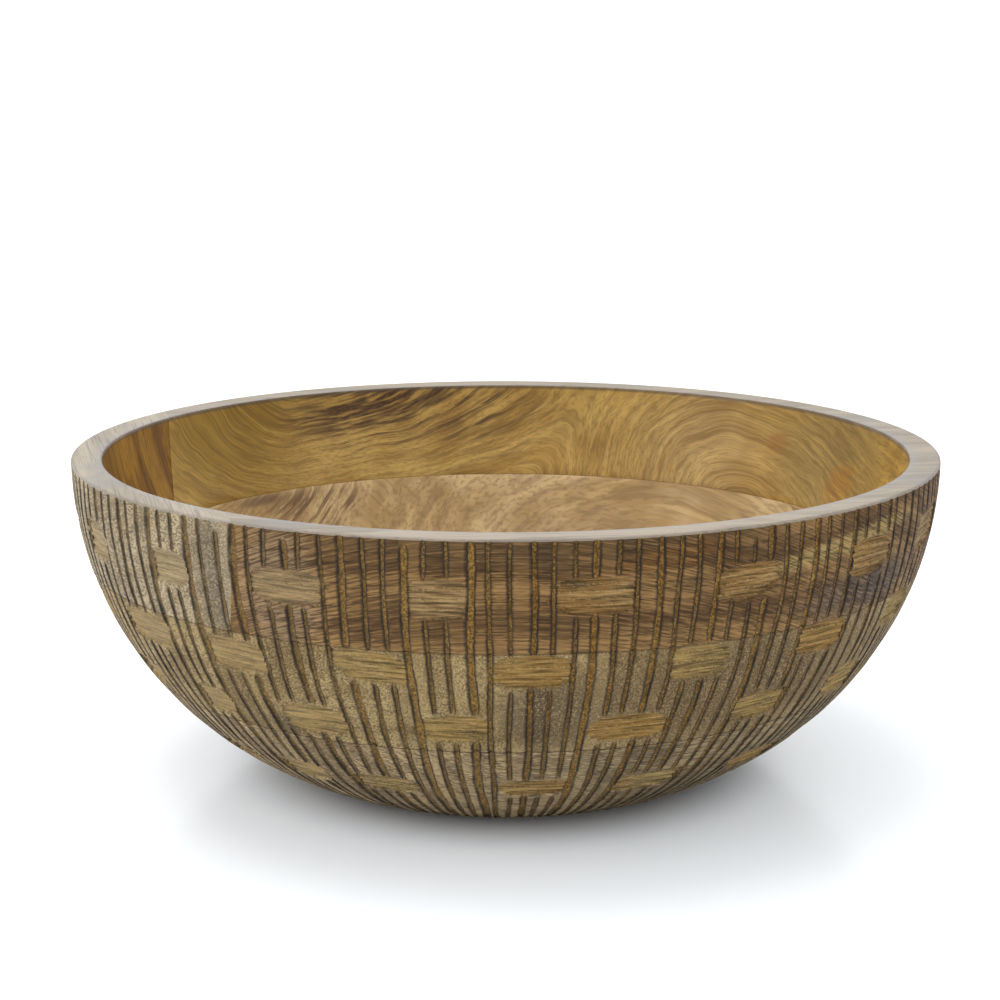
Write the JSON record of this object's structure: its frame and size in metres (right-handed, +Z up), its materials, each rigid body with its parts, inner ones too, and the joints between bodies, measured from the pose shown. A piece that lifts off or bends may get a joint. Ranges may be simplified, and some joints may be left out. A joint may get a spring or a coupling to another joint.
{
  "type": "carved wooden bowl",
  "caption": "Round serving bowl glued up from layered boards, smooth inside, carved outside with upright gouge lines and staggered chip cuts like basket weave.",
  "frame": {"origin": "middle of the flat base, on the surface that the bowl stands on", "axes": "+Z up out of the bowl; -Y towards the viewer's side of the carving"},
  "size_m": [0.305, 0.305, 0.114],
  "materials": {
    "brown_wood": "dry carved outside, satin lacquer inside",
    "pale_speckled_wood": "dry carved outside, satin lacquer inside",
    "speckled_wood": "dry carved outside, satin lacquer inside",
    "plum_wood": "dry carved outside, satin lacquer inside",
    "tan_wood": "dry carved outside, satin lacquer inside",
    "light_wood": "dry carved outside, satin lacquer inside"
  },
  "bodies": {
    "root": {"top_board": "brown_wood", "top_edge_board": "pale_speckled_wood", "middle_board": "speckled_wood", "middle_edge_board": "plum_wood", "base_board_left": "tan_wood", "base_board_right": "light_wood"}
  },
  "joints": []
}
